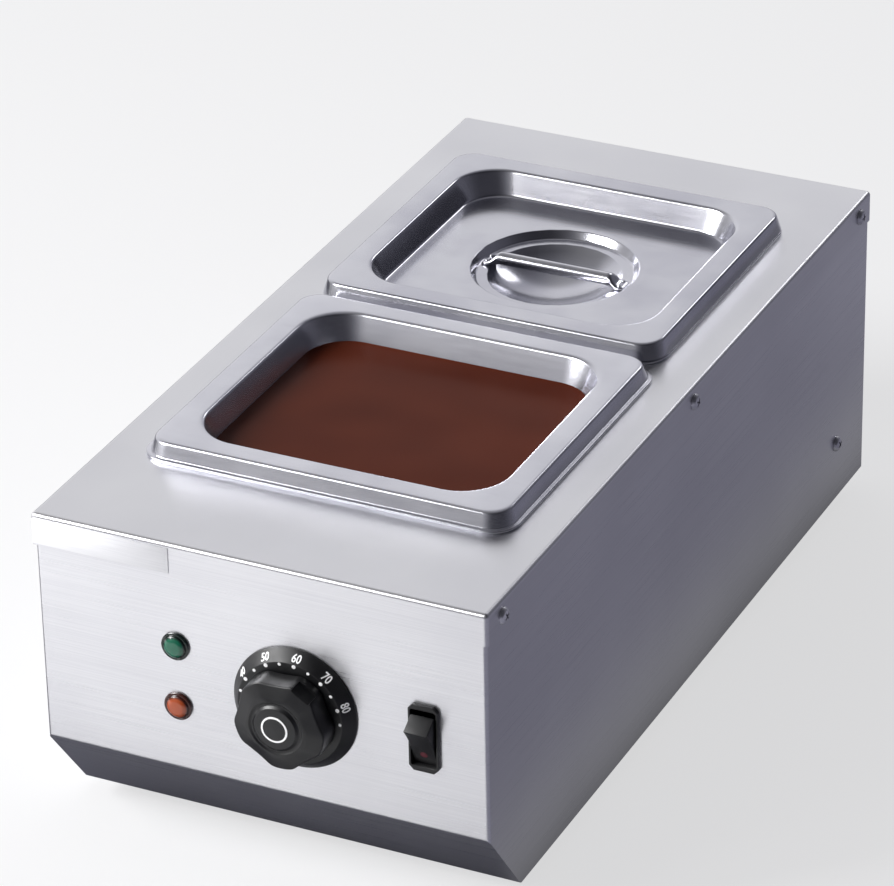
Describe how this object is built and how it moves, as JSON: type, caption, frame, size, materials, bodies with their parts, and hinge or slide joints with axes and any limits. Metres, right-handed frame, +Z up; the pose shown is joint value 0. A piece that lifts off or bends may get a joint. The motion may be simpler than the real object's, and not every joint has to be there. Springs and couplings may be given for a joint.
{
  "type": "electric chocolate melting pot",
  "caption": "Countertop electric chocolate melting pot: sheet steel housing with heated well, lift-out pans, a lid with sunk handle, dial thermostat, pilot lamps and rocker switch.",
  "frame": {"origin": "centre of the object's box, on the table that the feet stand on", "axes": "+Z up; the control panel faces -Y and the mains gland +Y; +X is to the right seen from the front"},
  "size_m": [0.2248, 0.4858, 0.1736],
  "materials": {
    "brushed_body": "fine horizontal brushing",
    "brushed_cover": "fine brushing along the length",
    "galvanised": "dull galvanised sheet",
    "screw_steel": "bright zinc plating",
    "well_steel": "mill finish",
    "pan_steel": "polished pressing",
    "lid_steel": "polished pressing",
    "element_sheath": "heat-darkened tube",
    "brass": "turned brass",
    "tinned_brass": "tinned blades",
    "copper_tube": "drawn copper",
    "foot_rubber": "moulded rubber",
    "dial_black": "fine moulded texture with printed white scale",
    "knob_black": "satin moulded phenolic",
    "switch_plastic": "moulded black nylon",
    "terminal_plastic": "moulded cream plastic",
    "gland_nylon": "black nylon",
    "green_lens": "translucent green",
    "amber_lens": "translucent amber",
    "chocolate": "glossy melted chocolate",
    "wire_insulation": "glass-fibre sleeved wire"
  },
  "bodies": {
    "housing": {"body_shell": "brushed_body", "top_cover": "brushed_cover", "back_panel": "brushed_body", "base_plate": "galvanised", "cover_screws": "screw_steel", "back_panel_screws": "screw_steel", "base_screws": "screw_steel", "feet": "foot_rubber", "foot_screws": "screw_steel", "well_tank": "well_steel", "heating_element": "element_sheath", "element_nuts": "brass", "element_clips": "well_steel", "thermostat_body": "switch_plastic", "thermostat_screws": "screw_steel", "thermostat_bulb": "copper_tube", "capillary_tube": "copper_tube", "wiring_loom": "wire_insulation", "bulb_clip": "well_steel", "dial_plate": "dial_black", "switch_housing": "switch_plastic", "switch_terminals": "tinned_brass", "green_lens": "green_lens", "amber_lens": "amber_lens", "lamp_bodies": "switch_plastic", "lamp_nuts": "screw_steel", "thermal_cutout": "terminal_plastic", "cutout_screws": "screw_steel", "terminal_block": "terminal_plastic", "terminal_screws": "screw_steel", "earth_screw": "brass", "cable_gland": "gland_nylon", "gland_nut": "gland_nylon"},
    "knob": {"temperature_knob": "knob_black", "thermostat_shaft": "screw_steel"},
    "rocker": {"switch_rocker": "switch_plastic"},
    "front_pan": {"front_pan": "pan_steel", "melted_chocolate": "chocolate"},
    "rear_pan": {"rear_pan": "pan_steel"},
    "lid": {"rear_lid": "lid_steel", "lid_handle": "lid_steel"}
  },
  "joints": [
    {"name": "knob_turn", "type": "hinge", "parent": "housing", "child": "knob", "pos_m": [0.0171, -0.2218, 0.0958], "axis": [0, 1, 0], "range_deg": [-125, 55]},
    {"name": "rocker_tilt", "type": "hinge", "parent": "housing", "child": "rocker", "pos_m": [0.079, -0.2198, 0.0958], "axis": [-1, 0, 0], "range_deg": [0, 24]},
    {"name": "front_pan_lift", "type": "slide", "parent": "housing", "child": "front_pan", "axis": [0, 0, 1], "range_m": [0, 0.12]},
    {"name": "rear_pan_lift", "type": "slide", "parent": "housing", "child": "rear_pan", "axis": [0, 0, 1], "range_m": [0, 0.12]},
    {"name": "lid_lift", "type": "slide", "parent": "rear_pan", "child": "lid", "axis": [0, 0, 1], "range_m": [0, 0.06]}
  ]
}
